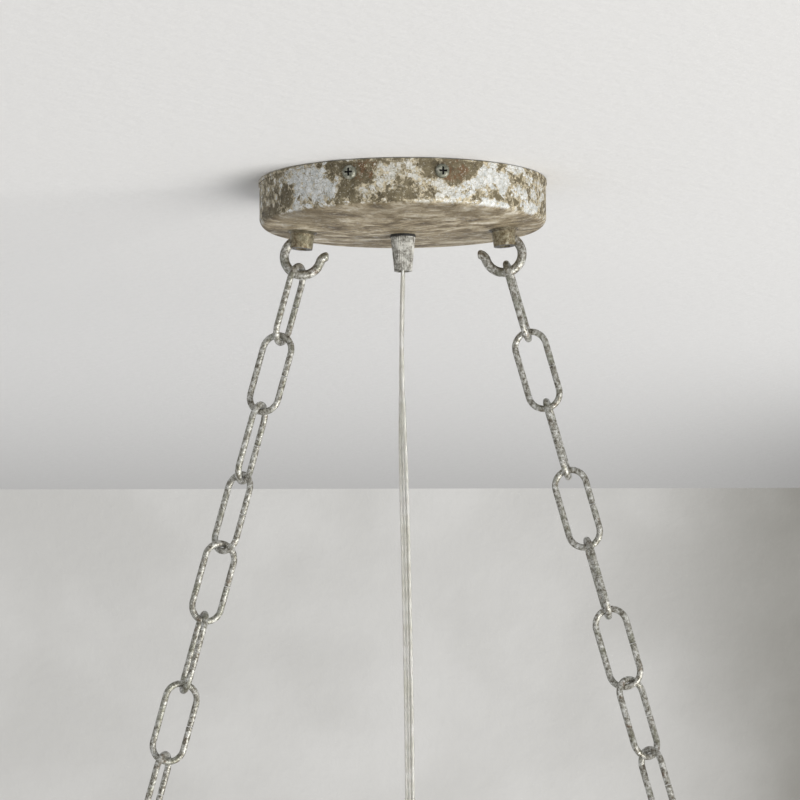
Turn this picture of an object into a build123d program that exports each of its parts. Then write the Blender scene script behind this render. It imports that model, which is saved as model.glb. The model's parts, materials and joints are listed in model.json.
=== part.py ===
from build123d import *
import math
import os

# Linear crystal chandelier on two spread chains, under a round canopy.
# Millimetres. X runs along the chandelier, Y away from the viewer, Z up.
# The origin is the middle of the canopy's rim, on the ceiling.

# Canopy pan
canopy_diameter = 152.4
canopy_wall = 1.2
canopy_side_depth = 23.5
canopy_sag = 4.7
canopy_edge_radius = 4.5
lip_depth = 1.6
lip_projection = 0.5

# Side screws
screw_half_angle = 18.3
screw_drop = 6.5
screw_thread_diameter = 4.2
screw_head_diameter = 7.4
screw_head_height = 2.4
screw_head_rounding = 1.5
screw_recess_width = 1.0
screw_recess_span = 4.2
screw_recess_depth = 1.2
screw_reach_past_flange = 5.0

# Mounting bracket
bracket_width = 64.0
bracket_thickness = 1.6
bracket_flange_depth = 13.0
bracket_wire_hole_diameter = 22.0
box_screw_spacing = 88.9
box_slot_width = 4.8
box_slot_length = 14.0
ground_screw_offset = 26.0
ground_screw_diameter = 4.2
ground_head_diameter = 8.0
ground_head_height = 2.6
ground_head_chamfer = 0.5

# Hook bosses and the bolts that hold them, each this far in from the canopy's rim
boss_inset = 23.1
boss_top_diameter = 13.1
boss_bottom_diameter = 11.9
boss_length = 9.1
boss_weld_size = 1.3
boss_weld_overlap = 0.3
boss_weld_length = 1.6
boss_spigot_diameter = 9.6
hook_bolt_diameter = 6.0
hook_bolt_across_flats = 10.0
hook_bolt_head_height = 4.0
hook_bolt_reach = 5.5
lock_washer_diameter = 11.6
lock_washer_thickness = 1.6
lock_washer_gap = 1.4

# Hooks
hook_wire = 4.9
hook_radius = 9.7
hook_centre_drop = 39.2
hook_start_angle = 120.0
hook_turn = 222.0
hook_tip_radius = 4.5
hook_tip_turn = 75.0
hook_tip_rounding = 1.6

# Chains, each link's twist about its run as the chains hang
link_wire = 3.4
link_length = 45.2
link_width = 20.0
link_gap = 0.3
link_seam = 0.5
chain_angle = 15.5
left_twists = [72.0, -21.0, 73.0, -42.0, 29.0, -74.0, 17.0, 76.0, -48.0, 14.0, 82.0, 0.0]
right_twists = [84.0, -9.0, 85.0, -8.0, -85.0, -12.0, 44.0, -52.0, 62.0, -4.0, 82.0, 0.0]

# Cord and its fluted grips
cord_width = 5.3
cord_thickness = 2.8
conductor_diameter = 1.6
conductor_spacing = 1.75
grip_base_diameter = 13.0
grip_tip_diameter = 9.4
grip_length = 18.1
grip_flutes = 34
grip_flute_depth = 0.35
grip_mouth_diameter = 7.0
grip_mouth_depth = 3.0
grip_bore_diameter = 5.2
nipple_diameter = 9.6
nipple_overrun = 1.0
grip_washer_diameter = 13.4
grip_washer_thickness = 1.3
grip_nut_across_flats = 14.0
grip_nut_thickness = 3.5

# Leads and connectors inside the canopy
lead_rise = 30.6
lead_bend_radius = 4.0
lead_straight = 5.0
bus_diameter = 1.9
ground_lead_rise = 34.6
connector_offset_x = 20.0
connector_offset_y = 14.0
connector_length = 22.0
connector_mouth_diameter = 9.4
connector_tip_diameter = 6.2
connector_bore_depth = 10.0
connector_bore_diameter = 4.4

# Chain eyes on the body
eye_radius = 8.0
eye_wire = 4.0
eye_collar_diameter = 12.0
eye_collar_height = 3.0
eye_weld_depth = 1.0
eye_stem_diameter = 6.0
eye_stem_clearance = 0.3
eye_nut_across_flats = 10.0
eye_nut_thickness = 5.0
eye_stem_overrun = 2.0

# Frame, straps and spine of the body
frame_length = 762.0
frame_width = 229.0
frame_height = 20.0
frame_thickness = 3.0
frame_corner_radius = 5.0
strap_width = 18.0
strap_thickness = 3.0
spine_size = 22.0
spine_wall = 1.5
spine_plug_length = 8.0

# Ball finials at the ends of the spine
finial_ball_diameter = 19.0
finial_flange_diameter = 17.0
finial_flange_height = 2.2
finial_neck_diameter = 8.0
finial_neck_length = 4.0
finial_neck_overlap = 1.0
finial_stud_diameter = 6.0

# Lampholders and lamps
lamp_positions = [-270.0, -90.0, 90.0, 270.0]
socket_nipple_diameter = 10.0
socket_nipple_bore = 6.8
socket_nipple_overrun = 2.0
socket_cup_diameter = 27.0
socket_cup_height = 46.0
socket_cup_wall = 0.9
socket_body_diameter = 24.0
socket_body_length = 42.0
socket_bore_depth = 24.0
bulb_base_diameter = 12.0
bulb_base_clearance = 0.3
bulb_neck_drop = 1.5
bulb_glass_diameter = 35.0
bulb_bulge_drop = 30.0
bulb_glass_length = 76.0
bulb_neck_slope = 0.6

# Crystals on wire rings
long_row_count = 24
short_row_count = 6
row_inset = 32.0
rail_hole_diameter = 2.4
rail_hole_height = 5.0
ring_wire = 1.0
upper_ring_radius = 4.5
lower_ring_radius = 3.0
crystal_hole_diameter = 2.2
crystal_hole_margin = 2.2
bead_height = 20.0
bead_girdle = 1.2
bead_thickness = 7.0
bead_facet_taper = 50.0
prism_length = 89.0
prism_width = 16.0
prism_thickness = 8.0
prism_neck_width = 6.4
prism_neck_thickness = 2.2
prism_shoulder_drop = 16.0
prism_point_rise = 14.0

os.makedirs("parts", exist_ok=True)


def save(part, name):
    """Labels one finished piece and writes it to its file."""
    part.label = name
    export_step(part, f"parts/{name}.step")


# The canopy's shape, which most of the fittings are placed from.
pan_radius = canopy_diameter / 2 - lip_projection
canopy_depth = canopy_side_depth + canopy_sag
dome_radius = (pan_radius**2 + canopy_sag**2) / (2 * canopy_sag)
dome_centre_z = dome_radius - canopy_depth
hook_offset = canopy_diameter / 2 - boss_inset


def underside(radius):
    """Height of the canopy's domed underside at this distance from its axis."""
    return dome_centre_z - math.sqrt(dome_radius**2 - radius**2)


def inner_sag(radius):
    """How far the dome's inner face rises from its lowest point, this far out."""
    inner_radius = dome_radius - canopy_wall
    return inner_radius - math.sqrt(inner_radius**2 - radius**2)


def from_axis(point):
    """A point's distance from the canopy's axis."""
    return math.hypot(point.X, point.Y)


def boss_plane(side):
    """Plane on the domed underside at a boss, facing out of the dome. side is -1 left, 1 right."""
    seat = Vector(side * hook_offset, 0, underside(hook_offset))
    return Plane(origin=seat, x_dir=(0, 1, 0), z_dir=seat - Vector(0, 0, dome_centre_z))


def screw_planes(radius):
    """Planes that face outwards at the four side screws, this far from the canopy's axis."""
    planes = []
    for facing in (-90, 90):
        for turn in (-screw_half_angle, screw_half_angle):
            across = math.cos(math.radians(facing + turn))
            along = math.sin(math.radians(facing + turn))
            origin = (radius * across, radius * along, -screw_drop)
            planes.append(Plane(origin=origin, x_dir=(0, 0, 1), z_dir=(across, along, 0)))
    return planes


# Canopy pan
pan_open_depth = 3 * canopy_wall
with BuildPart() as canopy_pan:
    with BuildSketch(Plane.XZ) as pan_section:
        with BuildLine():
            Polyline((0, -canopy_depth), (0, 0), (pan_radius, 0), (pan_radius, -canopy_side_depth))
            ThreePointArc(
                (pan_radius, -canopy_side_depth),
                (pan_radius / 2, underside(pan_radius / 2)),
                (0, -canopy_depth),
            )
        make_face()
        fillet(pan_section.vertices().group_by(Axis.X)[-1].sort_by(Axis.Y)[0], canopy_edge_radius)
    revolve(axis=Axis.Z)
    offset(amount=-canopy_wall, openings=canopy_pan.faces().sort_by(Axis.Z)[-1])
    with BuildSketch():
        Circle(canopy_diameter / 2)
        Circle(pan_radius - canopy_wall, mode=Mode.SUBTRACT)
    extrude(amount=-lip_depth)
    with BuildSketch(*screw_planes(canopy_diameter / 2)):
        Circle(screw_thread_diameter / 2)
    extrude(amount=-pan_open_depth, mode=Mode.SUBTRACT)
    with BuildSketch(boss_plane(-1), boss_plane(1)):
        Circle(boss_spigot_diameter / 2)
    extrude(amount=-pan_open_depth, both=True, mode=Mode.SUBTRACT)
    with BuildSketch(Plane.XY.offset(-canopy_depth)):
        Circle(nipple_diameter / 2)
    extrude(amount=pan_open_depth, both=True, mode=Mode.SUBTRACT)
save(canopy_pan.part, "canopy_pan")

# Side screws, their heads resting on the pan's side
screw_length = canopy_wall + bracket_thickness + screw_reach_past_flange
screw_seat_reach = pan_radius + screw_head_height / 2
with BuildPart() as canopy_screws:
    with BuildSketch(*screw_planes(pan_radius)):
        Circle(screw_head_diameter / 2)
    extrude(amount=screw_head_height)
    circles = canopy_screws.edges().filter_by(GeomType.CIRCLE)
    head_rims = [rim for rim in circles if from_axis(rim.arc_center) > screw_seat_reach]
    fillet(head_rims, screw_head_rounding)
    with BuildSketch(*screw_planes(pan_radius)):
        Circle(screw_thread_diameter / 2)
    extrude(amount=-screw_length)
    with BuildSketch(*screw_planes(pan_radius + screw_head_height)):
        Rectangle(screw_recess_span, screw_recess_width)
        Rectangle(screw_recess_width, screw_recess_span)
    extrude(amount=-screw_recess_depth, mode=Mode.SUBTRACT)
save(canopy_screws.part, "canopy_screws")

# Mounting bracket: a flat strap with two curved flanges inside the pan's side
bracket_radius = pan_radius - canopy_wall
with BuildPart() as mounting_bracket:
    with BuildSketch():
        Circle(bracket_radius)
        Rectangle(bracket_width, canopy_diameter, mode=Mode.INTERSECT)
        Circle(bracket_wire_hole_diameter / 2, mode=Mode.SUBTRACT)
        with GridLocations(0, box_screw_spacing, 1, 2):
            SlotOverall(box_slot_length, box_slot_width, rotation=90, mode=Mode.SUBTRACT)
        with Locations((0, -ground_screw_offset)):
            Circle(ground_screw_diameter / 2, mode=Mode.SUBTRACT)
    extrude(amount=-bracket_thickness)
    with BuildSketch():
        Circle(bracket_radius)
        Circle(bracket_radius - bracket_thickness, mode=Mode.SUBTRACT)
        Rectangle(bracket_width, canopy_diameter, mode=Mode.INTERSECT)
    extrude(amount=-bracket_flange_depth)
    with BuildSketch(*screw_planes(bracket_radius)):
        Circle(screw_thread_diameter / 2)
    extrude(amount=-pan_open_depth, both=True, mode=Mode.SUBTRACT)
save(mounting_bracket.part, "mounting_bracket")

# Earth screw, up through the bracket
with BuildPart() as ground_screw:
    with BuildSketch(Plane.XY.offset(-bracket_thickness)):
        with Locations((0, -ground_screw_offset)):
            Circle(ground_head_diameter / 2)
    extrude(amount=-ground_head_height)
    chamfer(ground_screw.faces().sort_by(Axis.Z)[0].edges(), ground_head_chamfer)
    with BuildSketch(Plane.XY.offset(-bracket_thickness)):
        with Locations((0, -ground_screw_offset)):
            Circle(ground_screw_diameter / 2)
    extrude(amount=bracket_thickness)
save(ground_screw.part, "ground_screw")


def boss_outline(plane):
    """The boss without its bore: a tapered collar with its weld bead against the pan."""
    with BuildPart(mode=Mode.PRIVATE) as outline:
        with Locations(plane):
            Cone(
                boss_top_diameter / 2,
                boss_bottom_diameter / 2,
                boss_length,
                align=(Align.CENTER, Align.CENTER, Align.MIN),
            )
            Cone(
                boss_top_diameter / 2 + boss_weld_size,
                boss_top_diameter / 2 - boss_weld_overlap,
                boss_weld_length,
                align=(Align.CENTER, Align.CENTER, Align.MIN),
            )
    return outline.part


def hook_boss(side):
    """Tapered collar under the pan, with a spigot through the pan's wall and a threaded bore."""
    plane = boss_plane(side)
    with BuildPart() as boss:
        add(boss_outline(plane))
        with BuildSketch(plane):
            Circle(boss_spigot_diameter / 2)
        extrude(amount=-canopy_wall)
        with BuildSketch(plane):
            Circle(hook_bolt_diameter / 2)
        extrude(amount=2 * boss_length, both=True, mode=Mode.SUBTRACT)
    return boss.part


def hook(side):
    """Open hook of round wire, welded to the outer side of its boss, its tip flared inwards."""
    centre = (side * hook_offset, -hook_centre_drop)
    with BuildPart() as wire_hook:
        with BuildLine(Plane.XZ) as bend:
            if side < 0:
                CenterArc(centre, hook_radius, hook_start_angle, hook_turn)
                JernArc(bend.line @ 1, bend.line % 1, hook_tip_radius, -hook_tip_turn)
            else:
                CenterArc(centre, hook_radius, 180 - hook_start_angle, -hook_turn)
                JernArc(bend.line @ 1, bend.line % 1, hook_tip_radius, hook_tip_turn)
        with BuildSketch(Plane(origin=bend.wire() @ 0, z_dir=bend.wire() % 0)):
            Circle(hook_wire / 2)
        sweep(path=bend.wire())
        tip_face = wire_hook.faces().filter_by(GeomType.PLANE).sort_by_distance(bend.wire() @ 1)[0]
        fillet(tip_face.edges(), hook_tip_rounding)
        add(boss_outline(boss_plane(side)), mode=Mode.SUBTRACT)
    return wire_hook.part


save(hook_boss(-1), "left_hook_boss")
save(hook_boss(1), "right_hook_boss")
save(hook(-1), "left_hook")
save(hook(1), "right_hook")

# Split washers and hexagon bolts on the inside of the pan
washer_rise = canopy_wall + inner_sag(lock_washer_diameter / 2)
washer_seats = [boss_plane(side).offset(-washer_rise) for side in (-1, 1)]
bolt_seats = [boss_plane(side).offset(-washer_rise - lock_washer_thickness) for side in (-1, 1)]
with BuildPart() as hook_lock_washers:
    with BuildSketch(*washer_seats):
        Circle(lock_washer_diameter / 2)
        Circle(hook_bolt_diameter / 2, mode=Mode.SUBTRACT)
        with Locations((lock_washer_diameter / 2, 0)):
            Rectangle(lock_washer_diameter, lock_washer_gap, mode=Mode.SUBTRACT)
    extrude(amount=-lock_washer_thickness)
save(hook_lock_washers.part, "hook_lock_washers")

with BuildPart() as hook_bolts:
    with BuildSketch(*bolt_seats):
        RegularPolygon(hook_bolt_across_flats / 2, 6, major_radius=False)
    extrude(amount=-hook_bolt_head_height)
    with BuildSketch(*bolt_seats):
        Circle(hook_bolt_diameter / 2)
    extrude(amount=lock_washer_thickness + canopy_wall + hook_bolt_reach)
save(hook_bolts.part, "hook_bolts")


# Chains
chain_slope = math.radians(chain_angle)
link_pitch = link_length - 2 * link_wire - link_gap
link_turn_radius = (link_width - link_wire) / 2
link_leg = link_length - link_width
first_link_rise = (hook_wire + link_wire) / 2 + link_gap
eye_rise = (link_wire + eye_wire) / 2 + link_gap
chain_run = len(left_twists) * link_pitch + link_gap + link_wire - first_link_rise - eye_rise


def chain_direction(side):
    """Unit vector down along a chain."""
    return Vector(side * math.sin(chain_slope), 0, -math.cos(chain_slope))


def chain_point(side, run):
    """Point on a chain's line, this far down from the hook's wire."""
    hook_centre = Vector(side * hook_offset, 0, -hook_centre_drop)
    return hook_centre + chain_direction(side) * (hook_radius + run)


def chain_link(side, number, twist):
    """One oval link of round wire, with its butt joint left open half way down one leg."""
    run = (number - 1) * link_pitch + (link_length - link_wire) / 2 - first_link_rise
    up = chain_direction(side) * -1
    level = Vector(math.cos(chain_slope), 0, side * math.sin(chain_slope))
    across = level * math.cos(math.radians(twist)) + Vector(0, math.sin(math.radians(twist)), 0)
    link_plane = Plane(origin=chain_point(side, run), x_dir=across, z_dir=across.cross(up))
    with BuildPart() as link:
        with BuildLine(link_plane) as wire:
            Line((link_turn_radius, link_seam / 2), (link_turn_radius, link_leg / 2))
            CenterArc((0, link_leg / 2), link_turn_radius, 0, 180)
            Line((-link_turn_radius, link_leg / 2), (-link_turn_radius, -link_leg / 2))
            CenterArc((0, -link_leg / 2), link_turn_radius, 180, 180)
            Line((link_turn_radius, -link_leg / 2), (link_turn_radius, -link_seam / 2))
        with BuildSketch(Plane(origin=wire.wire() @ 0, z_dir=wire.wire() % 0)):
            Circle(link_wire / 2)
        sweep(path=wire.wire())
    return link.part


for count, (left_twist, right_twist) in enumerate(zip(left_twists, right_twists), start=1):
    save(chain_link(-1, count, left_twist), f"left_link_{count:02d}")
    save(chain_link(1, count, right_twist), f"right_link_{count:02d}")


# The cord's two grips: one under the canopy, one on the body's middle strap
def flute_outline(radius):
    """Corners of a fluted circle: ridge and groove in turn."""
    corners = []
    for step in range(2 * grip_flutes):
        angle = math.pi * step / grip_flutes
        reach = radius - grip_flute_depth * (step % 2)
        corners.append((reach * math.cos(angle), reach * math.sin(angle)))
    return corners


def fluted_grip(seat, nipple_length):
    """Tapered fluted strain relief. seat faces the cord; its threaded nipple goes the other way."""
    with BuildPart() as grip:
        for height, diameter in ((0, grip_base_diameter), (grip_length, grip_tip_diameter)):
            with BuildSketch(seat.offset(height)):
                with BuildLine():
                    Polyline(*flute_outline(diameter / 2), close=True)
                make_face()
        loft(ruled=True)
        with BuildSketch(seat):
            Circle(nipple_diameter / 2)
        extrude(amount=-nipple_length)
        with BuildSketch(seat):
            Circle(grip_bore_diameter / 2)
        extrude(amount=grip_length + nipple_length, both=True, mode=Mode.SUBTRACT)
        with BuildSketch(seat.offset(grip_length)):
            Circle(grip_mouth_diameter / 2)
        extrude(amount=-grip_mouth_depth, mode=Mode.SUBTRACT)
    return grip.part


def hex_nut(seat, across_flats, hole_diameter, thickness):
    """Hexagon nut on this plane, rising along the plane's normal."""
    with BuildPart() as nut:
        with BuildSketch(seat):
            RegularPolygon(across_flats / 2, 6, major_radius=False)
            Circle(hole_diameter / 2, mode=Mode.SUBTRACT)
        extrude(amount=thickness)
    return nut.part


grip_seat_z = -canopy_depth - grip_washer_thickness
canopy_nipple_length = grip_washer_thickness + canopy_wall + grip_nut_thickness + nipple_overrun
cord_top_z = grip_seat_z - grip_length + grip_mouth_depth
grip_seat = Plane(origin=(0, 0, grip_seat_z), x_dir=(1, 0, 0), z_dir=(0, 0, -1))
save(fluted_grip(grip_seat, canopy_nipple_length), "cord_grip")

with BuildPart() as grip_washer:
    with BuildSketch(Plane.XY.offset(grip_seat_z)):
        Circle(grip_washer_diameter / 2)
        Circle(nipple_diameter / 2, mode=Mode.SUBTRACT)
    extrude(amount=grip_washer_thickness)
save(grip_washer.part, "grip_washer")
grip_nut_corner = grip_nut_across_flats / math.sqrt(3)
grip_nut_seat = Plane.XY.offset(canopy_wall - canopy_depth + inner_sag(grip_nut_corner))
save(hex_nut(grip_nut_seat, grip_nut_across_flats, nipple_diameter, grip_nut_thickness), "grip_locknut")


# Heights of the body's pieces, down from the chain eyes
eye_point = chain_point(1, chain_run)
eye_x = eye_point.X
eye_z = eye_point.Z
eye_bottom_z = eye_z - 2 * eye_radius - eye_wire / 2
strap_top_z = eye_bottom_z + eye_weld_depth - eye_collar_height
rail_top_z = strap_top_z - strap_thickness
rail_hole_z = rail_top_z - frame_height + rail_hole_height
spine_bottom_z = rail_top_z - spine_size
cord_bottom_z = strap_top_z + grip_length - grip_mouth_depth

# Supply cord: flat, and straight from one grip's shoulder to the other's
cord_length = cord_top_z - cord_bottom_z
with BuildPart() as supply_cord:
    with BuildSketch(Plane.XY.offset(cord_bottom_z)):
        SlotOverall(cord_width, cord_thickness, rotation=90)
    extrude(amount=cord_length)
save(supply_cord.part, "supply_cord")
cord_section = math.pi * cord_thickness**2 / 4 + (cord_width - cord_thickness) * cord_thickness
print(f"cord: one straight run of {cord_length:.1f} mm, no bends")
cord_volume = supply_cord.part.volume
print(f"cord: volume {cord_volume:.0f}, section times length {cord_section * cord_length:.0f}")


def wire_run(points, bend_radius, diameter=conductor_diameter):
    """Round wire along straight runs with tangent bends."""
    with BuildPart() as wire:
        with BuildLine() as route:
            if len(points) > 2:
                FilletPolyline(*points, radius=bend_radius)
            else:
                Line(*points)
        with BuildSketch(Plane(origin=route.wire() @ 0, z_dir=route.wire() % 0)):
            Circle(diameter / 2)
        sweep(path=route.wire())
    return wire.part


# The cord's conductors inside the canopy, two to the connectors and one to the earth screw
connector_floor_x = connector_offset_x + connector_bore_depth
lead_level = cord_top_z + lead_rise
ground_level = cord_top_z + ground_lead_rise
canopy_leads = []
for side in (-1, 1):
    lead_start = (0, side * conductor_spacing, cord_top_z)
    lead_bend = (0, side * conductor_spacing, lead_level)
    lead_turn = (side * (connector_offset_x - lead_straight), side * connector_offset_y, lead_level)
    lead_end = (side * connector_floor_x, side * connector_offset_y, lead_level)
    canopy_leads.append(wire_run([lead_start, lead_bend, lead_turn, lead_end], lead_bend_radius))
ground_end_z = -bracket_thickness - ground_head_height
ground_route = [
    (0, 0, cord_top_z),
    (0, 0, ground_level),
    (0, -ground_screw_offset, ground_level),
    (0, -ground_screw_offset, ground_end_z),
]
canopy_leads.append(wire_run(ground_route, lead_bend_radius))
save(Compound(children=canopy_leads), "lead_wires")

with BuildPart() as wire_connectors:
    for side in (-1, 1):
        mouth = Plane(
            origin=(side * connector_offset_x, side * connector_offset_y, lead_level), z_dir=(side, 0, 0)
        )
        with Locations(mouth):
            Cone(
                connector_mouth_diameter / 2,
                connector_tip_diameter / 2,
                connector_length,
                align=(Align.CENTER, Align.CENTER, Align.MIN),
            )
            Cylinder(
                connector_bore_diameter / 2,
                connector_bore_depth,
                align=(Align.CENTER, Align.CENTER, Align.MIN),
                mode=Mode.SUBTRACT,
            )
save(wire_connectors.part, "wire_connectors")


# Chain eyes, through a strap and the spine, and their nuts below
def chain_eye(side):
    """Closed ring of wire on a collar with a threaded stem."""
    stem_length = strap_thickness + spine_size + eye_nut_thickness + eye_stem_overrun
    with BuildPart() as eye:
        with Locations(Plane(origin=(side * eye_x, 0, eye_z - eye_radius), z_dir=(1, 0, 0))):
            Torus(eye_radius, eye_wire / 2)
        with BuildSketch(Plane(origin=(side * eye_x, 0, strap_top_z))):
            Circle(eye_collar_diameter / 2)
        extrude(amount=eye_collar_height)
        with BuildSketch(Plane(origin=(side * eye_x, 0, strap_top_z))):
            Circle(eye_stem_diameter / 2)
        extrude(amount=-stem_length)
    return eye.part


save(chain_eye(-1), "left_chain_eye")
save(chain_eye(1), "right_chain_eye")

eye_nut_solids = []
for side in (-1, 1):
    nut_seat = Plane(origin=(side * eye_x, 0, spine_bottom_z), x_dir=(1, 0, 0), z_dir=(0, 0, -1))
    eye_nut_solids.append(hex_nut(nut_seat, eye_nut_across_flats, eye_stem_diameter, eye_nut_thickness))
save(Compound(children=eye_nut_solids), "eye_nuts")

# Body's cord grip on the middle strap, with its nut inside the spine
inlet_seat = Plane.XY.offset(strap_top_z)
inlet_nipple_length = strap_thickness + spine_wall + grip_nut_thickness + nipple_overrun
save(fluted_grip(inlet_seat, inlet_nipple_length), "inlet_grip")
inlet_nut_seat = Plane.XY.offset(rail_top_z - spine_wall - grip_nut_thickness)
save(hex_nut(inlet_nut_seat, grip_nut_across_flats, nipple_diameter, grip_nut_thickness), "inlet_locknut")

# Straps across the frame: one at each eye and one at the cord
eye_hole_diameter = eye_stem_diameter + 2 * eye_stem_clearance
with BuildPart() as cross_straps:
    with BuildSketch(Plane.XY.offset(rail_top_z)):
        with GridLocations(eye_x, 0, 3, 1):
            Rectangle(strap_width, frame_width)
        with GridLocations(2 * eye_x, 0, 2, 1):
            Circle(eye_hole_diameter / 2, mode=Mode.SUBTRACT)
        Circle(nipple_diameter / 2, mode=Mode.SUBTRACT)
    extrude(amount=strap_thickness)
save(cross_straps.part, "cross_straps")

# Outer frame of flat bar, with the crystals' holes along its lower edge
long_row_pitch = (frame_length - frame_thickness - 2 * row_inset) / (long_row_count - 1)
short_row_pitch = (frame_width - frame_thickness - 2 * row_inset) / (short_row_count - 1)
spine_z = rail_top_z - spine_size / 2
with BuildPart() as outer_frame:
    with BuildSketch(Plane.XY.offset(rail_top_z)):
        RectangleRounded(frame_length, frame_width, frame_corner_radius)
        RectangleRounded(
            frame_length - 2 * frame_thickness,
            frame_width - 2 * frame_thickness,
            frame_corner_radius - frame_thickness,
            mode=Mode.SUBTRACT,
        )
    extrude(amount=-frame_height)
    with BuildSketch(Plane.XZ):
        with Locations((0, rail_hole_z)):
            with GridLocations(long_row_pitch, 0, long_row_count, 1):
                Circle(rail_hole_diameter / 2)
    extrude(amount=frame_width, both=True, mode=Mode.SUBTRACT)
    with BuildSketch(Plane.YZ):
        with Locations((0, rail_hole_z)):
            with GridLocations(short_row_pitch, 0, short_row_count, 1):
                Circle(rail_hole_diameter / 2)
        with Locations((0, spine_z)):
            Circle(finial_stud_diameter / 2)
    extrude(amount=frame_length, both=True, mode=Mode.SUBTRACT)
save(outer_frame.part, "outer_frame")

# Spine: square tube between the frame's end bars, with a threaded plug in each end
spine_length = frame_length - 2 * frame_thickness
spine_bore = spine_size - 2 * spine_wall
with BuildPart() as spine_tube:
    with BuildSketch(Plane.XY.offset(rail_top_z)):
        Rectangle(spine_length, spine_size)
    extrude(amount=-spine_size)
    with BuildSketch(Plane.XY.offset(rail_top_z - spine_wall)):
        Rectangle(spine_length - 2 * spine_plug_length, spine_bore)
    extrude(amount=-spine_bore, mode=Mode.SUBTRACT)
    with BuildSketch(Plane.YZ):
        with Locations((0, spine_z)):
            Circle(finial_stud_diameter / 2)
    extrude(amount=spine_length, both=True, mode=Mode.SUBTRACT)
    with BuildSketch(Plane.XY.offset(rail_top_z)):
        with GridLocations(2 * eye_x, 0, 2, 1):
            Circle(eye_hole_diameter / 2)
    extrude(amount=-spine_size, mode=Mode.SUBTRACT)
    with BuildSketch(Plane.XY.offset(rail_top_z)):
        Circle(nipple_diameter / 2)
    extrude(amount=-2 * spine_wall, mode=Mode.SUBTRACT)
    with BuildSketch(Plane.XY.offset(spine_bottom_z)):
        with Locations(*[(x, 0) for x in lamp_positions]):
            Circle(socket_nipple_diameter / 2)
    extrude(amount=2 * spine_wall, mode=Mode.SUBTRACT)
save(spine_tube.part, "spine_tube")

# Ball finials
ball_radius = finial_ball_diameter / 2
ball_rise = math.sqrt(ball_radius**2 - finial_neck_diameter**2 / 4)
ball_drop = finial_flange_height + finial_neck_length + ball_rise
with BuildPart() as spine_finials:
    for side in (-1, 1):
        end = Plane(origin=(side * frame_length / 2, 0, spine_z), z_dir=(side, 0, 0))
        with BuildSketch(end):
            Circle(finial_flange_diameter / 2)
        extrude(amount=finial_flange_height)
        with BuildSketch(end):
            Circle(finial_neck_diameter / 2)
        extrude(amount=finial_flange_height + finial_neck_length + finial_neck_overlap)
        with Locations(end.offset(ball_drop)):
            Sphere(ball_radius)
        with BuildSketch(end):
            Circle(finial_stud_diameter / 2)
        extrude(amount=-frame_thickness - spine_plug_length)
save(spine_finials.part, "spine_finials")

# Cups and lampholders under the spine
cup_floor_z = spine_bottom_z - socket_cup_wall
socket_mouth_z = cup_floor_z - socket_body_length
with BuildPart() as socket_cups:
    with BuildSketch(Plane.XY.offset(spine_bottom_z)):
        with Locations(*[(x, 0) for x in lamp_positions]):
            Circle(socket_cup_diameter / 2)
    extrude(amount=-socket_cup_height)
    cup_shoulders = socket_cups.faces().group_by(Axis.Z)[-1].edges()
    fillet(cup_shoulders, 3 * socket_cup_wall)
    with BuildSketch(Plane.XY.offset(cup_floor_z)):
        with Locations(*[(x, 0) for x in lamp_positions]):
            Circle(socket_cup_diameter / 2 - socket_cup_wall)
    extrude(amount=-socket_cup_height, mode=Mode.SUBTRACT)
    with BuildSketch(Plane.XY.offset(spine_bottom_z)):
        with Locations(*[(x, 0) for x in lamp_positions]):
            Circle(socket_nipple_diameter / 2)
    extrude(amount=-2 * socket_cup_wall, mode=Mode.SUBTRACT)
save(socket_cups.part, "socket_cups")

socket_nipple_length = socket_cup_wall + spine_wall + socket_nipple_overrun
bulb_bore_diameter = bulb_base_diameter + 2 * bulb_base_clearance
with BuildPart() as lamp_sockets:
    with BuildSketch(Plane.XY.offset(cup_floor_z)):
        with Locations(*[(x, 0) for x in lamp_positions]):
            Circle(socket_body_diameter / 2)
    extrude(amount=-socket_body_length)
    with BuildSketch(Plane.XY.offset(cup_floor_z)):
        with Locations(*[(x, 0) for x in lamp_positions]):
            Circle(socket_nipple_diameter / 2)
    extrude(amount=socket_nipple_length)
    with BuildSketch(Plane.XY.offset(socket_mouth_z)):
        with Locations(*[(x, 0) for x in lamp_positions]):
            Circle(bulb_bore_diameter / 2)
    extrude(amount=socket_bore_depth, mode=Mode.SUBTRACT)
    with BuildSketch(Plane.XY.offset(cup_floor_z + socket_nipple_length)):
        with Locations(*[(x, 0) for x in lamp_positions]):
            Circle(socket_nipple_bore / 2)
    extrude(amount=-socket_nipple_length, mode=Mode.SUBTRACT)
save(lamp_sockets.part, "lamp_sockets")


# Candle lamps, hanging tip down
def candle_bulb(x):
    """Lamp of revolution: screw base, shoulder, bulge and drawn tip."""
    base_top = socket_mouth_z + socket_bore_depth - bulb_base_clearance
    glass_top = socket_mouth_z - bulb_neck_drop
    bulge_z = glass_top - bulb_bulge_drop
    tip_z = glass_top - bulb_glass_length
    base_radius = bulb_base_diameter / 2
    bulge_radius = bulb_glass_diameter / 2
    with BuildPart() as bulb:
        with BuildSketch(Plane(origin=(x, 0, 0), x_dir=(1, 0, 0), z_dir=(0, -1, 0))):
            with BuildLine():
                Polyline((0, tip_z), (0, base_top), (base_radius, base_top), (base_radius, glass_top))
                Spline(
                    (base_radius, glass_top),
                    (bulge_radius, bulge_z),
                    (0, tip_z),
                    tangents=((bulb_neck_slope, -1), (-bulb_neck_slope, -1)),
                )
            make_face()
        revolve(axis=Axis((x, 0, 0), (0, 0, 1)))
    return bulb.part


for count, lamp_x in enumerate(lamp_positions, start=1):
    save(candle_bulb(lamp_x), f"bulb_{count}")

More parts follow.
